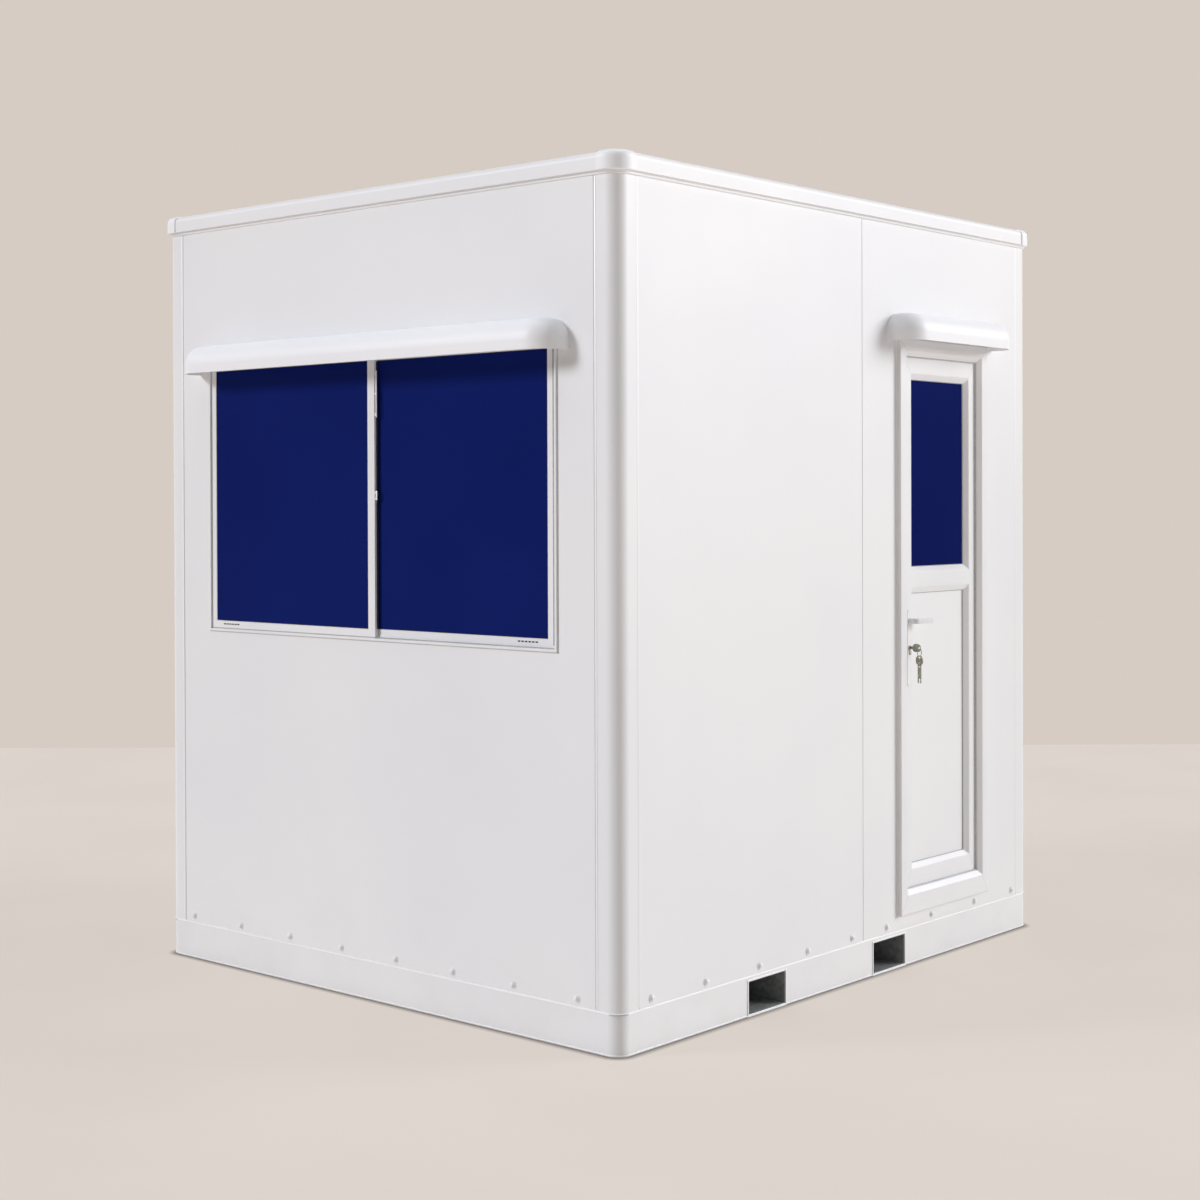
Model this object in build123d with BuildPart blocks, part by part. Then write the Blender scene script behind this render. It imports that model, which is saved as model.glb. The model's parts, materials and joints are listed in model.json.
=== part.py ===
from build123d import *
import os

# A modular cabin on a skirted base: insulated wall panels between rounded corner posts, a moulded
# roof cap, one sliding window and one half-glazed door that opens inward.
# Millimetres. The ground is z = 0 and the origin is the middle of the footprint.
# The window wall faces -Y and the door wall faces +X.

# Whole cabin
cabin_width = 2110.0
cabin_depth = 2380.0
wall_thickness = 60.0
wall_height = 2425.0
corner_radius = 45.0
seam_chamfer = 2.0
seat_gap = 0.3

# Base
skirt_height = 129.0
skirt_edge_chamfer = 3.5
pocket_width = 197.0
pocket_height = 106.0
pocket_bottom = 6.0
pocket_liner = 3.0
pocket_recess = 2.0
pocket_front_y = -474.0
pocket_rear_y = 229.5
joist_width = 50.0
joist_wall = 3.0
joist_places = (-860.0, 0.0, 760.0)
floor_thickness = 60.0
floor_top = 177.0

# Corner posts and wall panels
post_leg_width = 90.0
door_side_seam = 72.0

# Roof
rail_height = 59.0
rail_proud = 5.0
rail_width = 25.0
rail_edge_chamfer = 2.0
cap_overhang = 15.0
cap_lift = 11.0
cap_height = 55.0
cap_edge_radius = 20.0
cap_crown = 20.0
cap_ridge_width = 20.0
cap_crown_setback = 90.0
ceiling_thickness = 50.0
corner_cap_reach = 80.0
corner_cap_proud = 3.0

# Window
window_centre = 2.0
window_width = 1638.0
window_height = 938.0
window_bottom = 1163.0
window_flange = 8.0
window_flange_proud = 6.0
window_frame_wall = 4.0
track_rib = 2.0
track_rib_height = 10.0
inner_lip = 10.0
sash_thickness = 13.0
sash_rail = 29.0
sash_stile = 26.0
sash_far_stile = 46.0
hidden_stile = 27.0
sash_bevel = 2.0
sash_gap = 1.0
meeting_stile = 34.0
meeting_right = 27.0
sash_overlap = 29.0
glass_thickness = 6.0
glass_setback = 2.0
glass_groove = 5.0

# Rain hoods
hood_projection = 110.0
hood_height = 96.0
hood_edge_radius = 66.0
hood_corner_radius = 88.0
hood_inner_chamfer = 46.0
hood_skin = 4.0
window_hood_length = 1740.0
window_hood_lap = 47.0
door_hood_length = 704.0
door_hood_lap = 11.0

# Door frame
door_centre = 577.0
door_width = 587.0
door_bottom = 178.0
door_height = 1988.0
door_stile_face = 40.0
door_sill_face = 67.0
door_frame_proud = 16.0
door_bevel = 18.0
door_bevel_depth = 13.0

# Door leaf
leaf_gap = 10.0
leaf_face_gap = 5.0
leaf_overlap = 6.0
leaf_stile = 48.0
leaf_top_rail = 66.0
leaf_bottom_rail = 68.0
leaf_mid_rail = 55.0
door_glass_height = 689.0
bead_width = 18.0
bead_slope = 13.0
bead_edge = 0.5
pane_recess = 17.0
pane_thickness = 24.0

# Handle, lock and keys
handle_y = 368.0
lever_z = 1190.0
lock_drop = 92.0
plate_width = 30.0
plate_height = 263.0
plate_centre_z = 1096.5
plate_thickness = 4.0
plate_edge_chamfer = 1.0
spindle_radius = 4.5
spindle_clearance = 1.5
lever_length = 103.0
lever_standoff = 26.0
lever_height = 19.0
lever_thickness = 12.0
lever_bend = 12.0
lever_edge_chamfer = 2.5
cylinder_radius = 8.5
cylinder_web = 10.0
cylinder_depth = 33.0
cylinder_proud = 2.5
key_thickness = 2.2
key_blade = 8.5
key_bow_length = 35.0
key_bow_width = 28.0
key_hole_radius = 4.0
key_hole_offset = 11.0
key_shaft = 61.0
key_neck = 7.5
key_notches = (5.0, 11.0, 17.0, 23.0, 29.0)
key_notch_size = 3.0
keyway_gap = 0.2
spare_blade = 14.0
spare_slot_length = 16.0
spare_slot_width = 5.0
spare_hole_radius = 2.5
ring_radius = 13.0
ring_wire = 0.9
ring_gap = 0.2

# Hinges
hinge_heights = (450.0, 1190.0, 1950.0)
hinge_length = 80.0
barrel_radius = 8.0
barrel_standoff = 1.0
pin_radius = 4.0
pin_clearance = 0.3
pin_end = 4.0
hinge_leaf = 45.0
hinge_plate = 4.0

os.makedirs("parts", exist_ok=True)

half_width = cabin_width / 2
half_depth = cabin_depth / 2
wall_top = skirt_height + wall_height
cap_bottom = wall_top + cap_lift
cap_top = cap_bottom + cap_height

# Each wall's plane lies in its outside face: x to the right as seen from outside, y up, z out.
front_face = Plane((0, -half_depth, 0), x_dir=(1, 0, 0), z_dir=(0, -1, 0))
right_face = Plane((half_width, 0, 0), x_dir=(0, 1, 0), z_dir=(1, 0, 0))
rear_face = Plane((0, half_depth, 0), x_dir=(-1, 0, 0), z_dir=(0, 1, 0))
left_face = Plane((-half_width, 0, 0), x_dir=(0, -1, 0), z_dir=(-1, 0, 0))


# Base skirt: a ring beam with rounded corners and square holes for the fork pockets
with BuildPart() as base_skirt:
    with BuildSketch():
        RectangleRounded(cabin_width, cabin_depth, corner_radius)
    extrude(amount=skirt_height)
    skirt_rims = base_skirt.edges().group_by(Axis.Z)
    chamfer(skirt_rims[0] + skirt_rims[-1], skirt_edge_chamfer)
    with BuildSketch():
        Rectangle(cabin_width - 2 * wall_thickness, cabin_depth - 2 * wall_thickness)
    extrude(amount=skirt_height, mode=Mode.SUBTRACT)
    with BuildSketch(Plane.YZ):
        with Locations(
            (pocket_front_y, pocket_bottom + pocket_height / 2),
            (pocket_rear_y, pocket_bottom + pocket_height / 2),
        ):
            Rectangle(pocket_width, pocket_height)
    extrude(amount=half_width, both=True, mode=Mode.SUBTRACT)
base_skirt.part.label = "base_skirt"
export_step(base_skirt.part, "parts/base_skirt.step")

# Fork pockets: open tubes right through the base
for pocket_name, pocket_y in (("fork_pocket_front", pocket_front_y), ("fork_pocket_rear", pocket_rear_y)):
    with BuildPart() as fork_pocket:
        with BuildSketch(Plane.YZ):
            with Locations((pocket_y, pocket_bottom + pocket_height / 2)):
                Rectangle(pocket_width, pocket_height)
                Rectangle(
                    pocket_width - 2 * pocket_liner, pocket_height - 2 * pocket_liner, mode=Mode.SUBTRACT
                )
        extrude(amount=half_width - pocket_recess, both=True)
    fork_pocket.part.label = pocket_name
    export_step(fork_pocket.part, f"parts/{pocket_name}.step")

# Floor joists: box sections between the skirt's long sides
joist_height = floor_top - floor_thickness
with BuildPart() as floor_joists:
    with BuildSketch(Plane.YZ):
        with Locations(*[(y, joist_height / 2) for y in joist_places]):
            Rectangle(joist_width, joist_height)
            Rectangle(joist_width - 2 * joist_wall, joist_height - 2 * joist_wall, mode=Mode.SUBTRACT)
    extrude(amount=half_width - wall_thickness, both=True)
floor_joists.part.label = "floor_joists"
export_step(floor_joists.part, "parts/floor_joists.step")

# Floor: one insulated panel on the joists, inside the walls
with BuildPart() as floor_panel:
    with BuildSketch(Plane.XY.offset(floor_top - floor_thickness)):
        Rectangle(
            cabin_width - 2 * (wall_thickness + seat_gap), cabin_depth - 2 * (wall_thickness + seat_gap)
        )
    extrude(amount=floor_thickness)
floor_panel.part.label = "floor_panel"
export_step(floor_panel.part, "parts/floor_panel.step")


# The two outside edges where a post meets the wall panels
def is_flange_end(point):
    on_right = abs(point.X - half_width) < 0.1 and abs(point.Y + half_depth - post_leg_width) < 0.1
    on_front = abs(point.Y + half_depth) < 0.1 and abs(point.X - half_width + post_leg_width) < 0.1
    return on_right or on_front


# Corner post: an L-shaped profile with a rounded outer corner, drawn for the +X -Y corner
def corner_post(name, mirror_x, mirror_y):
    with BuildPart() as post:
        with BuildSketch(Plane.XY.offset(skirt_height)):
            with BuildLine():
                Polyline(
                    (half_width, -half_depth),
                    (half_width, -half_depth + post_leg_width),
                    (half_width - wall_thickness, -half_depth + post_leg_width),
                    (half_width - wall_thickness, -half_depth + wall_thickness),
                    (half_width - post_leg_width, -half_depth + wall_thickness),
                    (half_width - post_leg_width, -half_depth),
                    close=True,
                )
            make_face()
            corner = vertices().group_by(Axis.X)[-1].sort_by(Axis.Y)[0]
            fillet(corner, corner_radius)
        extrude(amount=wall_height)
        flange_ends = (
            post.edges()
            .filter_by(Axis.Z)
            .filter_by(lambda edge: is_flange_end(edge.center()))
        )
        chamfer(flange_ends, seam_chamfer)
        if mirror_x:
            mirror(about=Plane.YZ, mode=Mode.REPLACE)
        if mirror_y:
            mirror(about=Plane.XZ, mode=Mode.REPLACE)
    post.part.label = name
    export_step(post.part, f"parts/{name}.step")


corner_post("corner_post_front_right", False, False)
corner_post("corner_post_front_left", True, False)
corner_post("corner_post_rear_right", False, True)
corner_post("corner_post_rear_left", True, True)


# Wall panel: a plain slab between two seams, with its upright outside edges eased on the seam sides
def wall_panel(name, face, left, right, bottom, top, seams):
    with BuildPart() as panel:
        with BuildSketch(face):
            with Locations(((left + right) / 2, (bottom + top) / 2)):
                Rectangle(right - left, top - bottom)
        extrude(amount=-wall_thickness)
        outside = panel.faces().sort_by(Axis(face.origin, face.z_dir))[-1]
        upright = outside.edges().filter_by(Axis.Z).sort_by(Axis(face.origin, face.x_dir))
        for place, side in ((0, "left"), (-1, "right")):
            if side in seams:
                chamfer(upright[place], seam_chamfer)
    panel.part.label = name
    export_step(panel.part, f"parts/{name}.step")


front_half = half_width - post_leg_width
side_half = half_depth - post_leg_width
door_left = door_centre - door_width / 2
door_right = door_centre + door_width / 2
door_top = door_bottom + door_height
wall_panel("rear_wall", rear_face, -front_half, front_half, skirt_height, wall_top, ("left", "right"))
wall_panel("left_wall_front", left_face, -door_side_seam, side_half, skirt_height, wall_top, ("left", "right"))
wall_panel("left_wall_rear", left_face, -side_half, -door_side_seam, skirt_height, wall_top, ("left", "right"))
wall_panel("right_wall_front", right_face, -side_half, door_side_seam, skirt_height, wall_top, ("left", "right"))
wall_panel("door_wall_latch_side", right_face, door_side_seam, door_left, skirt_height, wall_top, ("left",))
wall_panel("door_wall_hinge_side", right_face, door_right, side_half, skirt_height, wall_top, ("right",))
wall_panel("door_wall_head", right_face, door_left, door_right, door_top, wall_top, ())
wall_panel("door_wall_sill", right_face, door_left, door_right, skirt_height, door_bottom, ())

# Front wall: one panel with the window opening cut through
frame_inner_width = window_width - 2 * window_flange
frame_inner_height = window_height - 2 * window_flange
window_middle = window_bottom + window_height / 2
with BuildPart() as front_wall:
    with BuildSketch(front_face):
        with Locations((0, skirt_height + wall_height / 2)):
            Rectangle(2 * front_half, wall_height)
    extrude(amount=-wall_thickness)
    outside_face = front_wall.faces().sort_by(Axis.Y)[0]
    chamfer(outside_face.edges().filter_by(Axis.Z), seam_chamfer)
    with BuildSketch(front_face):
        with Locations((window_centre, window_middle)):
            Rectangle(
                frame_inner_width + 2 * window_frame_wall, frame_inner_height + 2 * window_frame_wall
            )
    extrude(amount=-wall_thickness, mode=Mode.SUBTRACT)
front_wall.part.label = "front_wall"
export_step(front_wall.part, "parts/front_wall.step")

# Top rail: the crown profile round the wall tops, seen as a thin lip under the roof cap
rail_outer_width = cabin_width + 2 * rail_proud
rail_outer_depth = cabin_depth + 2 * rail_proud
with BuildPart() as top_rail:
    with BuildSketch(Plane.XY.offset(wall_top)):
        RectangleRounded(rail_outer_width, rail_outer_depth, corner_radius + rail_proud)
    extrude(amount=rail_height)
    chamfer(top_rail.edges().group_by(Axis.Z)[0], rail_edge_chamfer)
    with BuildSketch(Plane.XY.offset(wall_top)):
        Rectangle(rail_outer_width - 2 * rail_width, rail_outer_depth - 2 * rail_width)
    extrude(amount=rail_height, mode=Mode.SUBTRACT)
top_rail.part.label = "top_rail"
export_step(top_rail.part, "parts/top_rail.step")

# Ceiling: an insulated panel that bears on the wall tops inside the rail
with BuildPart() as ceiling_panel:
    with BuildSketch(Plane.XY.offset(wall_top)):
        Rectangle(
            rail_outer_width - 2 * (rail_width + seat_gap), rail_outer_depth - 2 * (rail_width + seat_gap)
        )
    extrude(amount=ceiling_thickness)
ceiling_panel.part.label = "ceiling_panel"
export_step(ceiling_panel.part, "parts/ceiling_panel.step")

# Lid form: a rounded slab hollowed to sit over the rail, made prouder for the corner mouldings
cap_width = cabin_width + 2 * cap_overhang
cap_depth = cabin_depth + 2 * cap_overhang
cap_radius = corner_radius + cap_overhang


def lid_form(proud):
    with BuildPart() as lid:
        with BuildSketch(Plane.XY.offset(cap_bottom)):
            RectangleRounded(cap_width + 2 * proud, cap_depth + 2 * proud, cap_radius + proud)
        extrude(amount=cap_height + proud)
        fillet(lid.faces().sort_by(Axis.Z)[-1].edges(), cap_edge_radius + proud)
        with BuildSketch(Plane.XY.offset(cap_bottom)):
            RectangleRounded(rail_outer_width, rail_outer_depth, corner_radius + rail_proud)
        extrude(amount=wall_top + rail_height - cap_bottom, mode=Mode.SUBTRACT)
    return lid.part


# Crown: a low hipped rise, two gable forms crossed
crown_width = cap_width - 2 * cap_crown_setback
crown_depth = cap_depth - 2 * cap_crown_setback
crown_top = cap_top + cap_crown
with BuildPart() as crown:
    for plane, span, ridge, mode in (
        (Plane.XZ, crown_width, cap_ridge_width, Mode.ADD),
        (Plane.YZ, crown_depth, cap_ridge_width + crown_depth - crown_width, Mode.INTERSECT),
    ):
        with BuildSketch(plane):
            Polygon(
                (-span / 2, cap_top), (span / 2, cap_top), (ridge / 2, crown_top), (-ridge / 2, crown_top), align=None
            )
        extrude(amount=crown_depth, both=True, mode=mode)

# Roof cap: the lid and its crown, cut away at the corners
with BuildPart() as roof_cap:
    add(lid_form(0))
    add(crown.part)
    with BuildSketch(Plane.XY.offset(cap_bottom)):
        with GridLocations(cap_width - corner_cap_reach, cap_depth - corner_cap_reach, 2, 2):
            Rectangle(corner_cap_reach, corner_cap_reach)
    extrude(amount=cap_height, mode=Mode.SUBTRACT)
roof_cap.part.label = "roof_cap"
export_step(roof_cap.part, "parts/roof_cap.step")

# Roof corner caps: the four corners of the same lid, a little prouder
with BuildPart() as roof_corner_caps:
    add(lid_form(corner_cap_proud))
    with BuildSketch(Plane.XY.offset(cap_bottom)):
        Rectangle(cap_width - 2 * corner_cap_reach, 2 * cap_depth)
        Rectangle(2 * cap_width, cap_depth - 2 * corner_cap_reach)
    extrude(amount=2 * cap_height, mode=Mode.SUBTRACT)
roof_corner_caps.part.label = "roof_corner_caps"
export_step(roof_corner_caps.part, "parts/roof_corner_caps.step")

# Window frame: a thin lining of the opening with a flange that laps over the wall
with BuildPart() as window_frame:
    with BuildSketch(front_face.offset(window_flange_proud)):
        with Locations((window_centre, window_middle)):
            Rectangle(window_width, window_height)
    extrude(amount=-window_flange_proud)
    with BuildSketch(front_face):
        with Locations((window_centre, window_middle)):
            Rectangle(
                frame_inner_width + 2 * window_frame_wall, frame_inner_height + 2 * window_frame_wall
            )
    extrude(amount=-wall_thickness)
    with BuildSketch(front_face.offset(window_flange_proud)):
        with Locations((window_centre, window_middle)):
            Rectangle(frame_inner_width, frame_inner_height)
    extrude(amount=-window_flange_proud - wall_thickness, mode=Mode.SUBTRACT)
    for rib_depth, rib_thickness in ((sash_thickness, track_rib), (2 * sash_thickness + track_rib, inner_lip)):
        with BuildSketch(front_face.offset(-rib_depth)):
            with Locations((window_centre, window_middle)):
                Rectangle(frame_inner_width, frame_inner_height)
                Rectangle(
                    frame_inner_width - 2 * track_rib_height,
                    frame_inner_height - 2 * track_rib_height,
                    mode=Mode.SUBTRACT,
                )
        extrude(amount=-rib_thickness)
    flange_rim = window_frame.faces().sort_by(Axis.Y)[0].outer_wire().edges()
    chamfer(flange_rim, window_flange_proud / 4)
window_frame.part.label = "window_frame"
export_step(window_frame.part, "parts/window_frame.step")


# Sash and its pane: a slim frame in one of the two tracks, grooved all round for the pane
def window_sash(side, left, right, left_stile, right_stile, depth):
    bottom = window_bottom + window_flange
    top = bottom + frame_inner_height
    light_width = right - left - left_stile - right_stile
    light_height = frame_inner_height - 2 * sash_rail
    light_place = ((left + left_stile + right - right_stile) / 2, window_middle)
    with BuildPart() as pane:
        with BuildSketch(front_face.offset(-depth - glass_setback)):
            with Locations(light_place):
                Rectangle(light_width + 2 * glass_groove, light_height + 2 * glass_groove)
        extrude(amount=-glass_thickness)
    pane.part.label = f"window_glass_{side}"
    export_step(pane.part, f"parts/window_glass_{side}.step")
    with BuildPart() as sash:
        with BuildSketch(front_face.offset(-depth)):
            with Locations(((left + right) / 2, (bottom + top - sash_gap) / 2)):
                Rectangle(right - left, top - sash_gap - bottom)
            with Locations(light_place):
                Rectangle(light_width, light_height, mode=Mode.SUBTRACT)
        extrude(amount=-sash_thickness)
        chamfer(sash.faces().sort_by(Axis.Y)[0].inner_wires()[0].edges(), sash_bevel)
        add(pane.part, mode=Mode.SUBTRACT)
    sash.part.label = f"window_sash_{side}"
    export_step(sash.part, f"parts/window_sash_{side}.step")


sash_left = window_centre - frame_inner_width / 2 + sash_gap
sash_right = window_centre + frame_inner_width / 2 - sash_gap
inner_track = sash_thickness + track_rib
window_sash("left", sash_left, meeting_right, sash_stile, meeting_stile, 0.0)
window_sash("right", meeting_right - sash_overlap, sash_right, hidden_stile, sash_far_stile, inner_track)


# Rain hood: a moulding with a rounded top and rounded ends, open below and against the wall
def hood_form(face, centre, bottom, length, inset, ease, ease_size):
    plan = Plane(origin=face.from_local_coords((centre, bottom, 0)), x_dir=face.x_dir, z_dir=(0, 0, 1))
    with BuildPart() as form:
        with BuildSketch(plan):
            RectangleRounded(length - 2 * inset, 2 * (hood_projection - inset), hood_corner_radius - inset)
        extrude(amount=hood_height - inset)
        ease(form.faces().sort_by(Axis.Z)[-1].edges(), ease_size)
    return form.part


def rain_hood(name, face, centre, bottom, length):
    with BuildPart() as hood:
        add(hood_form(face, centre, bottom, length, 0, fillet, hood_edge_radius))
        add(hood_form(face, centre, bottom, length, hood_skin, chamfer, hood_inner_chamfer), mode=Mode.SUBTRACT)
        split(bisect_by=face, keep=Keep.TOP)
    hood.part.label = name
    export_step(hood.part, f"parts/{name}.step")


window_top = window_bottom + window_height
rain_hood("window_hood", front_face, 0, window_top - window_hood_lap, window_hood_length)
rain_hood("door_hood", right_face, door_centre, door_top - door_hood_lap, door_hood_length)

# Door frame: a box profile through the wall with a proud face that slopes in to the leaf
lip_width = door_width - 2 * (door_stile_face + door_bevel)
lip_bottom = door_bottom + door_sill_face + door_bevel
lip_top = door_top - door_stile_face - door_bevel
lip_height = lip_top - lip_bottom
lip_middle = (lip_bottom + lip_top) / 2
leaf_width = lip_width + 2 * leaf_overlap
leaf_height = lip_height + 2 * leaf_overlap
with BuildPart() as door_frame:
    with BuildSketch(right_face.offset(door_frame_proud)):
        with Locations((door_centre, door_bottom + door_height / 2)):
            Rectangle(door_width, door_height)
    extrude(amount=-door_frame_proud - wall_thickness)
    chamfer(door_frame.faces().sort_by(Axis.X)[-1].edges(), seam_chamfer)
    with BuildSketch(right_face.offset(door_frame_proud)):
        with Locations((door_centre, lip_middle)):
            Rectangle(lip_width, lip_height)
    extrude(amount=-door_frame_proud, mode=Mode.SUBTRACT)
    with BuildSketch(right_face.offset(door_frame_proud)):
        with Locations((door_centre, lip_middle)):
            Rectangle(lip_width + 2 * door_bevel, lip_height + 2 * door_bevel)
    with BuildSketch(right_face.offset(door_frame_proud - door_bevel_depth)):
        with Locations((door_centre, lip_middle)):
            Rectangle(lip_width, lip_height)
    loft(mode=Mode.SUBTRACT)
    with BuildSketch(right_face):
        with Locations((door_centre, lip_middle)):
            Rectangle(leaf_width + 2 * leaf_gap, leaf_height + 2 * leaf_gap)
    extrude(amount=-wall_thickness, mode=Mode.SUBTRACT)
door_frame.part.label = "door_frame"
export_step(door_frame.part, "parts/door_frame.step")

# Door leaf: stiles and rails with a glazed opening above and a panelled one below
leaf_face = right_face.offset(-leaf_face_gap)
leaf_thickness = wall_thickness - leaf_face_gap
leaf_bottom = lip_bottom - leaf_overlap
leaf_top = lip_top + leaf_overlap
light_width = leaf_width - 2 * leaf_stile
glass_top = leaf_top - leaf_top_rail
glass_bottom = glass_top - door_glass_height
panel_top = glass_bottom - leaf_mid_rail
panel_bottom = leaf_bottom + leaf_bottom_rail
glass_place = (door_centre, (glass_bottom + glass_top) / 2)
panel_place = (door_centre, (panel_bottom + panel_top) / 2)
panel_light_height = panel_top - panel_bottom
lock_z = lever_z - lock_drop


# Outline of the profile cylinder, a round core over a narrow web
def cylinder_outline():
    with Locations((handle_y, lock_z)):
        Circle(cylinder_radius)
    with Locations((handle_y, lock_z - (cylinder_depth - cylinder_radius) / 2)):
        Rectangle(cylinder_web, cylinder_depth - cylinder_radius)


with BuildPart() as door_leaf:
    with BuildSketch(leaf_face):
        with Locations((door_centre, lip_middle)):
            Rectangle(leaf_width, leaf_height)
        with Locations(glass_place):
            Rectangle(light_width, door_glass_height, mode=Mode.SUBTRACT)
        with Locations(panel_place):
            Rectangle(light_width, panel_light_height, mode=Mode.SUBTRACT)
    extrude(amount=-leaf_thickness)
    with BuildSketch(leaf_face) as lock_holes:
        with Locations((handle_y, lever_z)):
            Circle(spindle_radius + spindle_clearance)
        cylinder_outline()
    extrude(amount=-leaf_thickness, mode=Mode.SUBTRACT)
door_leaf.part.label = "door_leaf"
export_step(door_leaf.part, "parts/door_leaf.step")


# Glazing beads: a sloped ring outside and a square ring inside each opening of the leaf
def beads(name, place, height):
    with BuildPart() as bead:
        with BuildSketch(leaf_face):
            with Locations(place):
                Rectangle(light_width, height)
        extrude(amount=-leaf_thickness)
        with BuildSketch(leaf_face):
            with Locations(place):
                Rectangle(light_width - 2 * bead_width, height - 2 * bead_width)
        extrude(amount=-leaf_thickness, mode=Mode.SUBTRACT)
        with BuildSketch(leaf_face):
            with Locations(place):
                Rectangle(light_width - 2 * bead_edge, height - 2 * bead_edge)
        with BuildSketch(leaf_face.offset(-bead_slope)):
            with Locations(place):
                Rectangle(light_width - 2 * bead_width, height - 2 * bead_width)
        loft(mode=Mode.SUBTRACT)
        with BuildSketch(leaf_face.offset(-pane_recess)):
            with Locations(place):
                Rectangle(light_width, height)
        extrude(amount=-pane_thickness, mode=Mode.SUBTRACT)
    bead.part.label = name
    export_step(bead.part, f"parts/{name}.step")


beads("door_glass_beads", glass_place, door_glass_height)
beads("door_panel_beads", panel_place, panel_light_height)

# Door pane and lower infill panel, each clamped between its beads
with BuildPart() as door_glass:
    with BuildSketch(leaf_face.offset(-pane_recess)):
        with Locations(glass_place):
            Rectangle(light_width, door_glass_height)
    extrude(amount=-pane_thickness)
door_glass.part.label = "door_glass"
export_step(door_glass.part, "parts/door_glass.step")

with BuildPart() as door_lower_panel:
    with BuildSketch(leaf_face.offset(-pane_recess)):
        with Locations(panel_place):
            Rectangle(light_width, panel_light_height)
    extrude(amount=-pane_thickness)
door_lower_panel.part.label = "door_lower_panel"
export_step(door_lower_panel.part, "parts/door_lower_panel.step")

# Handle plates: long narrow plates on both faces of the leaf
leaf_inside = leaf_face.offset(-leaf_thickness)
with BuildPart() as door_handle_plates:
    for plate_plane, direction in ((leaf_face, 1), (leaf_inside, -1)):
        with BuildSketch(plate_plane):
            with Locations((handle_y, plate_centre_z)):
                RectangleRounded(plate_width, plate_height, plate_width / 3)
        extrude(amount=direction * plate_thickness)
    chamfer(door_handle_plates.faces().filter_by(Axis.X).group_by(Axis.X)[-1].edges(), plate_edge_chamfer)
    chamfer(door_handle_plates.faces().filter_by(Axis.X).group_by(Axis.X)[0].edges(), plate_edge_chamfer)
    with BuildSketch(leaf_face.offset(plate_thickness)):
        with Locations((handle_y, lever_z)):
            Circle(spindle_radius + spindle_clearance)
        cylinder_outline()
    extrude(amount=-leaf_thickness - 2 * plate_thickness, mode=Mode.SUBTRACT)
door_handle_plates.part.label = "door_handle_plates"
export_step(door_handle_plates.part, "parts/door_handle_plates.step")

# Levers: one spindle through the leaf with a bent lever at each end
lever_out = plate_thickness + lever_standoff
with BuildPart() as door_levers:
    with BuildSketch(leaf_face.offset(plate_thickness + seat_gap)):
        with Locations((handle_y, lever_z)):
            Circle(spindle_radius)
    extrude(amount=-leaf_thickness - 2 * plate_thickness - 2 * seat_gap)
    for lever_plane, direction in ((leaf_face, 1), (leaf_inside, -1)):
        seat_x = lever_plane.origin.X + direction * (plate_thickness + seat_gap)
        outer_x = lever_plane.origin.X + direction * lever_out
        with BuildLine() as lever_path:
            FilletPolyline(
                (seat_x, handle_y, lever_z),
                (outer_x, handle_y, lever_z),
                (outer_x, handle_y + lever_length, lever_z),
                radius=lever_bend,
            )
        with BuildSketch(Plane((seat_x, handle_y, lever_z), x_dir=(0, 1, 0), z_dir=(direction, 0, 0))):
            Rectangle(lever_thickness, lever_height)
            chamfer(vertices(), lever_edge_chamfer)
        sweep(path=lever_path.wires()[0])
    chamfer(door_levers.faces().filter_by(Axis.Y).group_by(Axis.Y)[-1].edges(), lever_edge_chamfer)
door_levers.part.label = "door_levers"
export_step(door_levers.part, "parts/door_levers.step")

# Lock cylinder: passes through the leaf and stands a little proud of both plates
with BuildPart() as lock_cylinder:
    with BuildSketch(leaf_face.offset(plate_thickness + cylinder_proud)):
        cylinder_outline()
    extrude(amount=-leaf_thickness - 2 * (plate_thickness + cylinder_proud))
    with BuildSketch(leaf_face.offset(plate_thickness + cylinder_proud)):
        with Locations((handle_y, lock_z)):
            Rectangle(key_thickness + 2 * keyway_gap, key_blade + 2 * keyway_gap)
    extrude(amount=key_neck - key_shaft - keyway_gap, mode=Mode.SUBTRACT)
lock_cylinder.part.label = "lock_cylinder"
export_step(lock_cylinder.part, "parts/lock_cylinder.step")

key_plane = Plane((0, handle_y + key_thickness / 2, 0), x_dir=(1, 0, 0), z_dir=(0, -1, 0))


# Key: a long rounded bow with a ring hole and a flat blade, drawn with the blade to the left
def key_blank(blade):
    SlotOverall(key_bow_length, key_bow_width)
    with Locations((-(key_bow_length / 2 + key_shaft) / 2, 0)):
        Rectangle(key_bow_length / 2 + key_shaft, blade)
    with Locations((key_hole_offset, 0)):
        Circle(key_hole_radius, mode=Mode.SUBTRACT)


# One key stands in the lock, its blade notched along one edge
bow_x = leaf_face.origin.X + plate_thickness + cylinder_proud + key_neck + key_bow_length / 2
key_tip = -key_bow_length / 2 - key_shaft
with BuildPart() as door_key:
    with BuildSketch(key_plane):
        with Locations((bow_x, lock_z)):
            key_blank(key_blade)
            with Locations(*[(key_tip + notch, key_blade / 2) for notch in key_notches]):
                Rectangle(key_notch_size, key_notch_size, rotation=45, mode=Mode.SUBTRACT)
    extrude(amount=key_thickness)
door_key.part.label = "door_key"
export_step(door_key.part, "parts/door_key.step")

# The ring hangs in the bow of that key
hang_x = bow_x + key_hole_offset
ring_z = lock_z - key_hole_radius + ring_wire + ring_gap - ring_radius
with BuildPart() as key_ring:
    with BuildSketch(Plane.YZ.offset(hang_x - ring_wire)):
        with Locations((handle_y, ring_z)):
            Circle(ring_radius + ring_wire)
            Circle(ring_radius - ring_wire, mode=Mode.SUBTRACT)
    extrude(amount=2 * ring_wire)
key_ring.part.label = "key_ring"
export_step(key_ring.part, "parts/key_ring.step")

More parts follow.
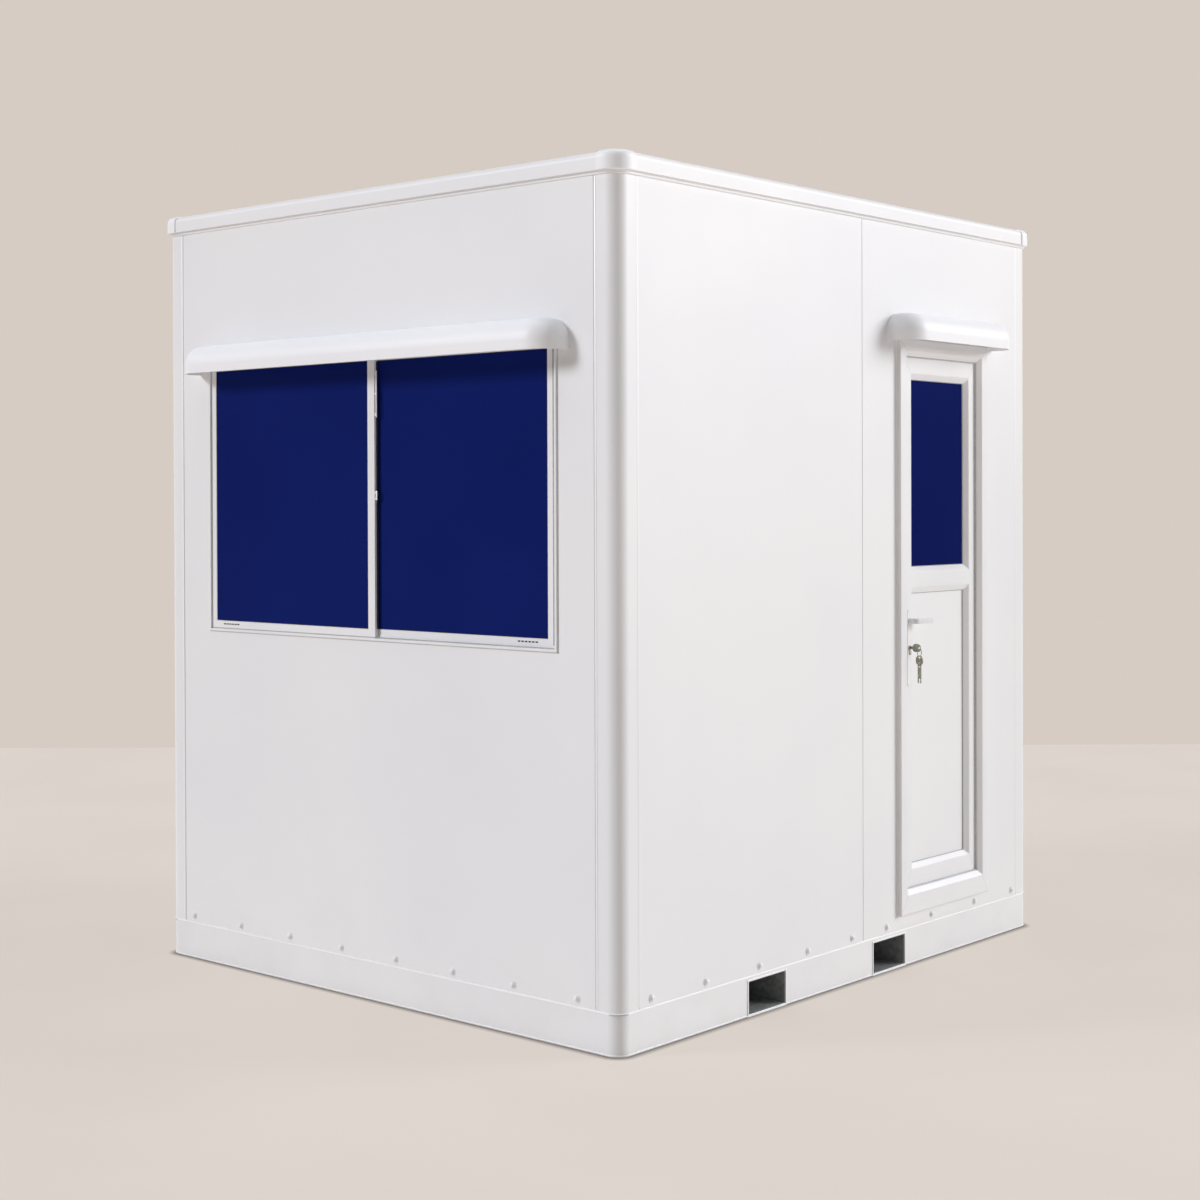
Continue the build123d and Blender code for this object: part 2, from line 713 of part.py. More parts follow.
# The spare hangs on the ring, its wider blade drilled at the neck and forked at the tip
spare_bow_z = ring_z - ring_radius + ring_wire + ring_gap - key_hole_radius - key_hole_offset
with BuildPart() as spare_key:
    with BuildSketch(key_plane):
        with Locations(Location((hang_x, spare_bow_z, 0), (0, 0, 90))):
            key_blank(spare_blade)
            with Locations((key_tip, 0)):
                Rectangle(2 * spare_slot_length, spare_slot_width, mode=Mode.SUBTRACT)
            with Locations((-key_bow_length / 2 - 2 * spare_hole_radius, 0)):
                Circle(spare_hole_radius, mode=Mode.SUBTRACT)
    extrude(amount=key_thickness)
spare_key.part.label = "spare_key"
export_step(spare_key.part, "parts/spare_key.step")

# Hinges: the pin axis stands off the inside of the leaf, over the gap at its far edge
inside_x = half_width - wall_thickness
hinge_x = inside_x - barrel_radius - barrel_standoff
hinge_y = door_centre + leaf_width / 2 + leaf_gap / 2


# Half a hinge at every height: its barrel's lower or upper part and the flap that carries it
def hinge_half(name, direction, lower):
    with BuildPart() as half:
        for height in hinge_heights:
            start = height - hinge_length / 2 if lower else height + pin_clearance
            with BuildSketch(Plane.XY.offset(start)):
                with Locations((hinge_x, hinge_y)):
                    Circle(barrel_radius)
                with Locations((inside_x - hinge_plate / 2, hinge_y + direction * hinge_leaf / 2)):
                    Rectangle(hinge_plate, hinge_leaf)
            extrude(amount=hinge_length / 2 - (0 if lower else pin_clearance))
            with BuildSketch(Plane.XY.offset(start)):
                with Locations((hinge_x, hinge_y)):
                    Circle(pin_radius if lower else pin_radius + pin_clearance)
            if lower:
                extrude(amount=hinge_length - pin_end)
            else:
                extrude(amount=hinge_length / 2, mode=Mode.SUBTRACT)
    half.part.label = name
    export_step(half.part, f"parts/{name}.step")


hinge_half("hinge_pins", 1, True)
hinge_half("hinge_knuckles", -1, False)
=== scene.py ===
import json
import math
import bpy
import bmesh
from mathutils import Matrix, Vector

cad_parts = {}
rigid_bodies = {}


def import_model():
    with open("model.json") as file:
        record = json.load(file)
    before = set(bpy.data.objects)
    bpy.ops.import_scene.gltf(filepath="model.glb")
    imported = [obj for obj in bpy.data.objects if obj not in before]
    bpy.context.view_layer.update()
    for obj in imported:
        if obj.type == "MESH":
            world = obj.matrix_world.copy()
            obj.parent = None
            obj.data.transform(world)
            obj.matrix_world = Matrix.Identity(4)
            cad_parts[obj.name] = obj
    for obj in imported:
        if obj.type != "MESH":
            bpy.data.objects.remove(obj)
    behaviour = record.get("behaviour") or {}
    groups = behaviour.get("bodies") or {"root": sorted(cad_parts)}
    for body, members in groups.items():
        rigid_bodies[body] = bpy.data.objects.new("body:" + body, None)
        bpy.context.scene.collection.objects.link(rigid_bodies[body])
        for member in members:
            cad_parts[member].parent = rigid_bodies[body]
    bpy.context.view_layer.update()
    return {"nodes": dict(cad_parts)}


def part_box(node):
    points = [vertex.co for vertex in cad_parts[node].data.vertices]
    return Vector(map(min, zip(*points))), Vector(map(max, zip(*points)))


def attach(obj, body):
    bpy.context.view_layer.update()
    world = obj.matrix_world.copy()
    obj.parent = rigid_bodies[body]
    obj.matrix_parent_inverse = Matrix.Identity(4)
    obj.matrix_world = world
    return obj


for leftover in list(bpy.data.objects):  # Blender's own start-up cube, lamp and camera
    bpy.data.objects.remove(leftover)
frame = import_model()
nodes = frame["nodes"]
print("frame loaded:", len(nodes), "nodes")


# Places that the finishes and the trim take from the frame, in metres
def edges(node):  # a node's lowest and highest corner, to a tenth of a millimetre
    return [[round(value, 4) for value in corner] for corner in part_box(node)]


def middle(first, second):
    return (first + second) / 2


def facing(node, axis):  # a node as seen from outside its wall: the axis is the one that runs across it
    low, high = edges(node)
    return {"across": middle(low[axis], high[axis]), "wide": high[axis] - low[axis], "left": low[axis],
            "up": middle(low[2], high[2]), "tall": high[2] - low[2], "low": low[2], "high": high[2]}


skirtHigh = edges("base_skirt")[1]
postRadius = 0.045  # of the corner posts and the skirt's corners
cornerCentre = (skirtHigh[0] - postRadius, skirtHigh[1] - postRadius)
windowFrame = facing("window_frame", 0)
doorFrame, doorLeaf = facing("door_frame", 1), facing("door_leaf", 1)
doorGlass, doorPanel = facing("door_glass", 1), facing("door_lower_panel", 1)
frameLap = 0.006  # of the door frame's lip over the leaf


# Shader maths
class Wire:  # one output socket, with the operators that the looks below use
    def __init__(self, sheet, socket):
        self.sheet, self.socket = sheet, socket

    def maths(self, operation, *others):
        values = dict(enumerate((self, *others)))
        return self.sheet.node("ShaderNodeMath", {"operation": operation}, values)[0]

    def __add__(self, other):
        return self.maths("ADD", other)

    def __sub__(self, other):
        return self.maths("SUBTRACT", other)

    def __rsub__(self, other):
        return self.sheet.node("ShaderNodeMath", {"operation": "SUBTRACT"}, {0: other, 1: self})[0]

    def __mul__(self, other):
        return self.maths("MULTIPLY", other)

    def __truediv__(self, other):
        return self.maths("DIVIDE", other)

    def __lt__(self, other):
        return self.maths("LESS_THAN", other)

    def __gt__(self, other):
        return self.maths("GREATER_THAN", other)

    def __abs__(self):
        return self.maths("ABSOLUTE")

    __radd__ = __add__
    __rmul__ = __mul__

    def clamp(self):
        return self.maths("MINIMUM", 1.0).maths("MAXIMUM", 0.0)

    def near(self, value, width):  # 1 on the value, fading to 0 at width on either side
        return (1.0 - abs(self - value) / width).clamp()

    def ramp(self, low, high):  # 0 at low, 1 at high
        return self.sheet.node("ShaderNodeMapRange", {"interpolation_type": "SMOOTHSTEP"},
                               {"Value": self, "From Min": low, "From Max": high})[0]


class Outlets:  # the output sockets of one node
    def __init__(self, sheet, made):
        self.sheet, self.made = sheet, made

    def __getitem__(self, key):
        return Wire(self.sheet, self.made.outputs[key])


class NodeSheet:  # a node tree, emptied first: every node in it comes from node()
    def __init__(self, tree):
        self.tree = tree
        self.tree.nodes.clear()

    def node(self, kind, settings=None, values=None):
        made = self.tree.nodes.new(kind)
        for key, value in (settings or {}).items():
            setattr(made, key, value)
        for key, value in (values or {}).items():
            if isinstance(value, Wire):
                self.tree.links.new(value.socket, made.inputs[key])
            else:
                made.inputs[key].default_value = value
        return Outlets(self, made)


def colourOf(value):  # an sRGB triple, 0 to 255, to the linear colour that a socket takes
    if isinstance(value, Wire):
        return value
    linear = [((c / 255 + 0.055) / 1.055) ** 2.4 if c > 10 else c / 255 / 12.92 for c in value]
    return (*linear, 1.0)


class Paint(NodeSheet):  # one material, on the object's own coordinates
    def __init__(self, name):
        self.material = bpy.data.materials.new(name)
        self.material.use_nodes = True
        super().__init__(self.material.node_tree)
        self.place = self.node("ShaderNodeTexCoord")["Object"]
        axes = self.node("ShaderNodeSeparateXYZ", values={0: self.place})
        self.x, self.y, self.z = axes[0], axes[1], axes[2]

    def noise(self, scale, detail=2.0, place=None):
        values = {"Vector": place or self.place, "Scale": scale, "Detail": detail, "Roughness": 0.5}
        return self.node("ShaderNodeTexNoise", {"noise_dimensions": "3D"}, values)[0]

    def patches(self, scale, detail, low=0.3, high=0.7):  # soft-edged patches, from 0 to 1
        return self.noise(scale, detail).ramp(low, high)

    def stretched(self, scale):  # the object's own coordinates, scaled on each axis
        return self.node("ShaderNodeMapping", values={"Vector": self.place, "Scale": scale})[0]

    def tint(self, amount, first, second):  # from the first colour to the second
        return self.node("ShaderNodeMix", {"data_type": "RGBA"},
                         {0: amount, 6: colourOf(first), 7: colourOf(second)})[2]

    def bump(self, height, depth, strength, normal=None):
        values = {"Height": height, "Distance": depth, "Strength": strength}
        if normal:
            values["Normal"] = normal
        return self.node("ShaderNodeBump", values=values)[0]

    def grained(self, grain, normal=None):  # fine relief, from its scale, depth and strength
        scale, depth, strength = grain
        return self.bump(self.noise(scale), depth, strength, normal)

    def softEdge(self, radius):  # rounds hard CAD edges in the shading only
        return self.node("ShaderNodeBevel", {"samples": 6}, {"Radius": radius})[0]

    def finish(self, **sockets):
        shader = self.node("ShaderNodeBsdfPrincipled", values={
            name.replace("_", " "): colourOf(value) if isinstance(value, tuple) else value
            for name, value in sockets.items()})[0]
        self.node("ShaderNodeOutputMaterial", values={"Surface": shader})
        return self.material


# Moulded and painted panels, with a little dust low down and a hairline at each joint
panelLook = {
    "white": (243, 243, 244), "shade": (238, 239, 241), "cloudScale": 1.1,
    "dust": (226, 224, 219), "dustLow": 0.02, "dustHigh": 0.55, "dustScale": 7.0, "dustAmount": 0.12,
    "seamLine": (202, 203, 206), "seamHalf": 0.0014, "postSeamAmount": 0.6,
    "postSeam": edges("front_wall")[1][0], "panelSeam": edges("right_wall_front")[1][1],
    "roughness": 0.42, "unevenScale": 5.0, "uneven": 0.12, "gloss": 0.35,
    "rippleScale": 2.3, "rippleDepth": 0.012, "rippleStrength": 0.18, "grain": (260.0, 0.0004, 0.10),
}


def gelcoat(name, settings, seams=True):
    paint = Paint(name)
    cloud = paint.patches(settings["cloudScale"], 3.0, 0.35, 0.7)
    colour = paint.tint(cloud, settings["white"], settings["shade"])
    low = 1.0 - paint.z.ramp(settings["dustLow"], settings["dustHigh"])
    dust = low * paint.patches(settings["dustScale"], 4.0, 0.35, 0.75)
    colour = paint.tint(dust * settings["dustAmount"], colour, settings["dust"])
    if seams:
        half = settings["seamHalf"]
        postLine = abs(paint.x).near(settings["postSeam"], half) * settings["postSeamAmount"]
        panelLine = paint.y.near(settings["panelSeam"], half)
        colour = paint.tint((postLine + panelLine).clamp(), colour, settings["seamLine"])
    ripple = paint.noise(settings["rippleScale"], 1.0)
    normal = paint.bump(ripple, settings["rippleDepth"], settings["rippleStrength"])
    normal = paint.grained(settings["grain"], normal)
    uneven = (paint.noise(settings["unevenScale"], 3.0) - 0.5) * settings["uneven"]
    return paint.finish(Base_Color=colour, Roughness=settings["roughness"] + uneven, Normal=normal,
                        Specular_IOR_Level=settings["gloss"])


# Smooth white profiles of the window and the door
profileLook = {
    "white": (244, 244, 245), "shade": (239, 240, 242), "cloudScale": 2.0, "edge": 0.0014,
    "line": (176, 178, 181), "lineHalf": 0.0008, "lineAmount": 0.8,
    "roughness": 0.30, "unevenScale": 9.0, "uneven": 0.10, "gloss": 0.4, "grain": (420.0, 0.0002, 0.06),
}


def profileWhite(name, settings, corners=()):
    paint = Paint(name)
    cloud = paint.patches(settings["cloudScale"], 3.0, 0.35, 0.7)
    colour = paint.tint(cloud, settings["white"], settings["shade"])
    across = abs(paint.y - doorFrame["across"])
    for (y0, z0), (y1, z1) in corners:  # the hairline of a weld, from its outer to its inner point
        run, rise = y1 - y0, z1 - z0
        length = math.hypot(run, rise)
        off = abs((across - y0) * (rise / length) - (paint.z - z0) * (run / length))
        along = ((across - y0) * run + (paint.z - z0) * rise) / length ** 2
        line = (1.0 - off / settings["lineHalf"]).clamp() * (along > 0.0) * (along < 1.0)
        colour = paint.tint(line * settings["lineAmount"], colour, settings["line"])
    normal = paint.grained(settings["grain"], paint.softEdge(settings["edge"]))
    uneven = (paint.noise(settings["unevenScale"], 3.0) - 0.5) * settings["uneven"]
    return paint.finish(Base_Color=colour, Roughness=settings["roughness"] + uneven, Normal=normal,
                        Specular_IOR_Level=settings["gloss"])


def weldedCorners(outer, inner):  # the corners of a frame, those of its foot and those of its head
    return [((outer["wide"] / 2, outer[end]), (inner["wide"] / 2, inner[end])) for end in ("low", "high")]


frameMouth = {"wide": doorLeaf["wide"] - 2 * frameLap, "low": doorLeaf["low"] + frameLap,
              "high": doorLeaf["high"] - frameLap}
leafMouth = {"wide": doorGlass["wide"], "low": doorPanel["low"], "high": doorGlass["high"]}
frameCorners, leafCorners = weldedCorners(doorFrame, frameMouth), weldedCorners(doorLeaf, leafMouth)

# Dark coloured glass, seen from outside only
glassLook = {"navy": (19, 34, 104), "deep": (17, 31, 99), "cloudScale": 1.6, "roughness": 0.10,
             "smearScale": 3.0, "smearStretch": (1.0, 1.0, 0.3), "smear": 0.08, "gloss": 0.01}


def tintedGlass(name, settings):
    paint = Paint(name)
    colour = paint.tint(paint.patches(settings["cloudScale"], 2.0), settings["navy"], settings["deep"])
    smear = paint.noise(settings["smearScale"], 4.0, paint.stretched(settings["smearStretch"]))
    return paint.finish(Base_Color=colour, Roughness=settings["roughness"] + smear * settings["smear"],
                        Specular_IOR_Level=settings["gloss"])


# Zinc-coated steel of the pockets and joists
steelLook = {"bright": (158, 161, 162), "dull": (132, 136, 138), "spangleScale": 70.0,
             "stain": (106, 106, 102), "stainScale": 9.0, "stainAmount": 0.6,
             "metal": 0.3, "roughness": 0.5, "uneven": 0.18, "grain": (300.0, 0.0003, 0.15)}


def galvanised(name, settings):
    paint = Paint(name)
    spangle = paint.node("ShaderNodeTexVoronoi", {"feature": "F1"},
                         {"Vector": paint.place, "Scale": settings["spangleScale"]})["Color"]
    flakes = paint.node("ShaderNodeSeparateXYZ", values={0: spangle})[0]
    colour = paint.tint(flakes, settings["bright"], settings["dull"])
    stain = paint.patches(settings["stainScale"], 5.0, 0.55, 0.8) * settings["stainAmount"]
    colour = paint.tint(stain, colour, settings["stain"])
    return paint.finish(Base_Color=colour, Metallic=settings["metal"],
                        Roughness=settings["roughness"] + flakes * settings["uneven"],
                        Normal=paint.grained(settings["grain"]))


# Floor covering and ceiling board inside
floorLook = {"sheet": (112, 114, 116), "shade": (104, 106, 109), "cloudScale": 3.0,
             "fleck": (150, 152, 154), "fleckScale": 420.0, "fleckAmount": 0.5,
             "roughness": 0.55, "unevenScale": 20.0, "uneven": 0.15, "grain": (600.0, 0.0003, 0.2)}
ceilingLook = {"board": (238, 238, 237), "shade": (231, 231, 230), "cloudScale": 4.0,
               "roughness": 0.6, "unevenScale": 30.0, "uneven": 0.1, "grain": (350.0, 0.0003, 0.2)}


def floorSheet(name, settings):
    paint = Paint(name)
    colour = paint.tint(paint.patches(settings["cloudScale"], 4.0), settings["sheet"], settings["shade"])
    fleck = paint.patches(settings["fleckScale"], 1.0, 0.56, 0.62) * settings["fleckAmount"]
    colour = paint.tint(fleck, colour, settings["fleck"])
    uneven = paint.noise(settings["unevenScale"]) * settings["uneven"]
    return paint.finish(Base_Color=colour, Roughness=settings["roughness"] + uneven,
                        Normal=paint.grained(settings["grain"]))


def ceilingBoard(name, settings):
    paint = Paint(name)
    colour = paint.tint(paint.patches(settings["cloudScale"], 3.0), settings["board"], settings["shade"])
    uneven = paint.noise(settings["unevenScale"]) * settings["uneven"]
    return paint.finish(Base_Color=colour, Roughness=settings["roughness"] + uneven,
                        Normal=paint.grained(settings["grain"]))


# Plated metal of the lock, the keys and the screws
nickelLook = {"bright": (190, 188, 178), "worn": (128, 126, 114), "wearScale": 260.0, "roughness": 0.26,
              "scratchScale": 900.0, "scratchStretch": (1.0, 1.0, 0.12), "scratchRough": 0.2,
              "scratchDepth": 0.0001, "scratchStrength": 0.2, "edge": 0.0006}


def nickel(name, settings):
    paint = Paint(name)
    wear = paint.patches(settings["wearScale"], 4.0, 0.4, 0.65)
    colour = paint.tint(wear, settings["bright"], settings["worn"])
    scratches = paint.noise(settings["scratchScale"], 2.0, paint.stretched(settings["scratchStretch"]))
    normal = paint.bump(scratches, settings["scratchDepth"], settings["scratchStrength"],
                        paint.softEdge(settings["edge"]))
    return paint.finish(Base_Color=colour, Metallic=1.0, Normal=normal,
                        Roughness=settings["roughness"] + scratches * settings["scratchRough"])


# Powder coat and plastic on small fittings, and rubber and sealant
coatLook = {"cloudScale": 40.0, "unevenScale": 90.0, "uneven": 0.1, "grain": (1500.0, 0.0001, 0.12)}
rubberLook = {"cloudScale": 60.0, "roughness": 0.6, "unevenScale": 200.0, "uneven": 0.15,
              "grain": (900.0, 0.0001, 0.2)}


def coated(name, white, shade, roughness, edge):
    paint = Paint(name)
    colour = paint.tint(paint.patches(coatLook["cloudScale"], 3.0), white, shade)
    uneven = (paint.noise(coatLook["unevenScale"]) - 0.5) * coatLook["uneven"]
    return paint.finish(Base_Color=colour, Roughness=roughness + uneven,
                        Normal=paint.grained(coatLook["grain"], paint.softEdge(edge)))


def rubber(name, tone, shade):
    paint = Paint(name)
    colour = paint.tint(paint.patches(rubberLook["cloudScale"], 3.0), tone, shade)
    uneven = paint.noise(rubberLook["unevenScale"]) * rubberLook["uneven"]
    return paint.finish(Base_Color=colour, Roughness=rubberLook["roughness"] + uneven,
                        Normal=paint.grained(rubberLook["grain"]))


# Painted light: the hoods, their lips and the roof's corner caps take a whiter copy of the panel gelcoat,
# standing in for more light on these mouldings
litHoodLook = dict(panelLook, white=(251, 252, 254), shade=(247, 248, 251), gloss=0.25)
looks = {
    "wall": gelcoat("wallGelcoat", panelLook),
    "post": gelcoat("postGelcoat", dict(panelLook, roughness=0.40)),
    "lid": gelcoat("lidGelcoat", panelLook, seams=False),
    "base": gelcoat("basePaint", dict(panelLook, roughness=0.38, dust=(214, 210, 203)), seams=False),
    "hood": gelcoat("litHoodGelcoat", litHoodLook, seams=False),
    "infill": gelcoat("infillPanel", dict(panelLook, roughness=0.40), seams=False),
    "frame": profileWhite("windowProfile", profileLook),
    "doorFrame": profileWhite("doorFrameProfile", dict(profileLook, edge=0.006), frameCorners),
    "doorLeaf": profileWhite("doorLeafProfile", dict(profileLook, edge=0.004), leafCorners),
    "bead": profileWhite("beadProfile", dict(profileLook, edge=0.004)),
    "glass": tintedGlass("navyGlass", glassLook),
    # painted shade: the door's glass is a darker copy of the same glass, set against the brighter light on
    # the door wall
    "doorGlass": tintedGlass("doorNavyGlassShaded", dict(glassLook, navy=(13, 26, 92), deep=(11, 23, 87))),
    "steel": galvanised("galvanisedSteel", steelLook),
    "floor": floorSheet("floorSheet", floorLook),
    "ceiling": ceilingBoard("ceilingBoard", ceilingLook),
    "nickel": nickel("lockNickel", nickelLook),
    "key": nickel("keyNickel", dict(nickelLook, bright=(176, 175, 160), worn=(116, 115, 100))),
    "handle": coated("handleCoat", (244, 244, 245), (239, 240, 241), roughness=0.30, edge=0.0008),
    "lever": coated("leverCoat", (236, 237, 240), (226, 227, 231), roughness=0.26, edge=0.0008),
    # partly painted highlight: a whiter white than the panels, so that narrow trims and beads read as
    # bright lines
    "edging": coated("brightEdgingPaintedHighlight", (253, 253, 254), (249, 250, 251), roughness=0.32, edge=0.0006),
    "hinge": coated("hingeCoat", (240, 240, 240), (233, 234, 235), roughness=0.34, edge=0.0006),
    "cap": coated("boltCapPlastic", (242, 242, 243), (236, 237, 238), roughness=0.40, edge=0.0004),
    "gasket": rubber("gasketRubber", (184, 185, 188), (172, 174, 177)),
    "darkGasket": rubber("glazingRubber", (40, 44, 62), (30, 33, 50)),
    "brush": rubber("brushSeal", (176, 175, 174), (160, 159, 158)),
    "sealant": rubber("paleSealant", (206, 207, 209), (194, 195, 198)),
    "slot": rubber("slotShadow", (58, 60, 66), (44, 46, 50)),
    # painted shadow: the dark strip on the wall beside the door frame
    "paintedShadowLine": rubber("paintedShadowLine", (132, 132, 134), (118, 118, 120)),
}
slotLooks = {
    "base_paint": "base", "galvanised": "steel", "floor_covering": "floor", "corner_moulding": "post",
    "wall_panel": "wall", "roof_moulding": "lid", "ceiling_board": "ceiling", "window_profile": "frame",
    "dark_glass": "glass", "hood_moulding": "hood", "door_infill": "infill", "handle_coat": "handle",
    "lock_nickel": "nickel", "key_nickel": "key", "hinge_coat": "hinge", "door_profile": "doorLeaf",
}
ownLooks = {  # nodes that look different from the rest of their slot
    "door_glass": "doorGlass", "door_frame": "doorFrame", "door_glass_beads": "bead",
    "door_panel_beads": "bead", "door_levers": "lever", "roof_corner_caps": "hood",
}
for name, node in nodes.items():
    look = ownLooks.get(name) or slotLooks[node.data.materials[0].name.split(".")[0]]
    for index in range(len(node.data.materials)):
        node.data.materials[index] = looks[look]
print("finishes:", len(looks), "materials on", len(nodes), "nodes")

# Modelling helpers: a piece is made flat on the bench, x across and y up, and then set on its wall
wallTurn = {"front": 0, "right": 90, "rear": 180, "left": 270}
wallFace = {"front": skirtHigh[1], "right": skirtHigh[0], "rear": skirtHigh[1], "left": skirtHigh[0]}


def turned(angle, axis):
    return Matrix.Rotation(math.radians(angle), 4, axis)


def wallMatrix(wall):  # local x runs right as seen from outside, local y up, local z out of the wall
    return turned(wallTurn[wall], "Z") @ Matrix.Translation((0, -wallFace[wall], 0)) @ turned(90, "X")


def clearSelection():
    if bpy.context.object and bpy.context.object.mode != "OBJECT":
        bpy.ops.object.mode_set(mode="OBJECT")
    bpy.ops.object.select_all(action="DESELECT")


def editAll(piece):
    clearSelection()
    bpy.context.view_layer.objects.active = piece
    piece.select_set(True)
    bpy.ops.object.mode_set(mode="EDIT")
    bpy.ops.mesh.select_all(action="SELECT")


def leaveEdit():
    bpy.ops.object.mode_set(mode="OBJECT")


def pickTop(piece):  # in edit mode: selects the faces that look up
    mesh = bmesh.from_edit_mesh(piece.data)
    mesh.select_mode = {"FACE"}
    for face in mesh.faces:
        face.select = face.normal.z > 0.9
    mesh.select_flush_mode()
    bmesh.update_edit_mesh(piece.data)


def pushOut(x, y, z):  # in edit mode: extrudes what is selected
    bpy.ops.mesh.extrude_region_move(TRANSFORM_OT_translate={"value": (x, y, z)})


def openAndRaise(band, height):  # in edit mode: cuts the middle out of a flat face and raises what is left
    bpy.ops.mesh.inset(thickness=band, depth=0)
    bpy.ops.mesh.delete(type="FACE")
    bpy.ops.mesh.select_all(action="SELECT")
    pushOut(0, 0, height)
    bpy.ops.mesh.select_all(action="SELECT")
    bpy.ops.mesh.normals_make_consistent(inside=False)


def toWall(piece, wall):  # from the bench onto its wall, with its place left in its mesh
    piece.data.transform(wallMatrix(wall))
    return piece


def joined(name, parts):
    clearSelection()
    for part in parts:
        part.select_set(True)
    bpy.context.view_layer.objects.active = parts[0]
    if len(parts) > 1:
        bpy.ops.object.join()
    parts[0].name = parts[0].data.name = name
    return parts[0]


def smoothed(piece, angle):
    clearSelection()
    piece.select_set(True)
    bpy.context.view_layer.objects.active = piece
    bpy.ops.object.shade_smooth_by_angle(angle=math.radians(angle))
    return piece


def fit(piece, look, body):  # finish and body of a new piece
    piece.data.materials.clear()
    piece.data.materials.append(looks[look])
    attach(piece, body)


def addBar(name, centre, size, edge):  # a bar on the bench, its edges eased
    clearSelection()
    bpy.ops.mesh.primitive_cube_add(size=1, location=centre)
    bar = bpy.context.object
    bar.name = name
    bar.scale = size
    bpy.ops.object.transform_apply(location=True, rotation=True, scale=True)
    editAll(bar)
    bpy.ops.mesh.bevel(offset=edge, segments=2, affect="EDGES")
    leaveEdit()
    return bar


def addRing(name, centre, width, height, band, low, high, edge):  # a rectangular ring on the bench
    clearSelection()
    bpy.ops.mesh.primitive_plane_add(size=1, location=(centre[0], centre[1], low))
    ring = bpy.context.object
    ring.name = name
    ring.scale = (width, height, 1)
    bpy.ops.object.transform_apply(location=True, rotation=True, scale=True)
    editAll(ring)
    openAndRaise(band, high - low)
    pickTop(ring)
    bpy.ops.mesh.bevel(offset=edge, segments=2, affect="EDGES")
    leaveEdit()
    return ring


# Domed caps over the skirt bolts
boltCap = {"radius": 0.0128, "sides": 20, "collar": 0.0022, "shoulder": 0.0036, "dome": 0.0056,
           "domeRings": 5, "tip": 0.02, "height": 0.151, "smooth": 40,
           "front": [-0.919, -0.661, -0.402, -0.144, 0.115, 0.373, 0.632, 0.890],
           "right": [-1.044, -0.784, -0.511, -0.249, 0.007, 0.218, 0.505, 0.799, 1.066]}


def addBoltCap(place):
    clearSelection()
    bpy.ops.mesh.primitive_cylinder_add(vertices=boltCap["sides"], radius=boltCap["radius"],
                                        depth=boltCap["collar"], location=(0, 0, boltCap["collar"] / 2))
    cap = bpy.context.object
    bpy.ops.object.transform_apply(location=True, rotation=True, scale=True)
    editAll(cap)
    pickTop(cap)
    bpy.ops.mesh.inset(thickness=boltCap["shoulder"], depth=0)
    angles = [math.pi / 2 * ring / boltCap["domeRings"] for ring in range(boltCap["domeRings"] + 1)]
    for below, above in zip(angles, angles[1:]):  # a dome raised ring by ring
        pushOut(0, 0, (math.sin(above) - math.sin(below)) * boltCap["dome"])
        shrink = max(math.cos(above) / math.cos(below), boltCap["tip"])
        bpy.ops.transform.resize(value=(shrink, shrink, 1))
    bpy.ops.mesh.merge(type="CENTER")
    leaveEdit()
    cap.data.transform(Matrix.Translation((place, boltCap["height"], 0)))
    return cap


boltRows = {"front": boltCap["front"], "rear": boltCap["front"], "right": boltCap["right"],
            "left": [-place for place in boltCap["right"]]}
caps = [toWall(addBoltCap(place), wall) for wall, places in boltRows.items() for place in places]
fit(smoothed(joined("skirtBolts", caps), boltCap["smooth"]), "cap", "cabin")
print("skirt bolts:", len(caps))

# Glazing gaskets of the window: the left sash runs in the front track, the right one in the rear track
rearTrack = -0.015
windowLight = {"left": (-0.782, -0.007), "right": (0.025, 0.766), "low": 1.200, "high": 2.063}
windowGasket = {"band": 0.0016, "low": -0.002, "high": -0.001, "edge": 0.0003}
rings = []
for (left, right), track in ((windowLight["left"], 0.0), (windowLight["right"], rearTrack)):
    centre = (middle(left, right), middle(windowLight["low"], windowLight["high"]))
    ring = addRing("gasket", centre, right - left, windowLight["high"] - windowLight["low"],
                   windowGasket["band"], track + windowGasket["low"], track + windowGasket["high"],
                   windowGasket["edge"])
    rings.append(toWall(ring, "front"))
fit(joined("windowGaskets", rings), "darkGasket", "cabin")

# Brush seals between the sashes and the frame, and the dark seal where the sashes meet
brushSeal = {"thick": 0.0014, "edge": 0.0004, "out": -0.0004, "rearOut": rearTrack + 0.0002,
             "sill": {"up": 1.1735, "wide": 1.6200, "tall": 0.0030},
             "leftJamb": {"across": -0.8055, "wide": 0.0026, "tall": 0.9180},
             "rightJamb": {"across": 0.7920, "wide": 0.0060, "tall": 0.9160}}
meetingSeal = {"centre": (0.0282, 1.631, -0.0105), "size": (0.0024, 0.862, 0.006), "edge": 0.0006}
seals = []
for side, out in (("sill", "out"), ("leftJamb", "out"), ("rightJamb", "rearOut")):
    place = {**windowFrame, **brushSeal[side]}  # the frame's own middle, where the seal has no other
    seal = addBar("seal", (place["across"], place["up"], brushSeal[out]),
                  (place["wide"], place["tall"], brushSeal["thick"]), brushSeal["edge"])
    seals.append(toWall(seal, "front"))
fit(joined("windowSeals", seals), "brush", "cabin")
seal = addBar("meetingSeal", meetingSeal["centre"], meetingSeal["size"], meetingSeal["edge"])
fit(toWall(seal, "front"), "darkGasket", "cabin")

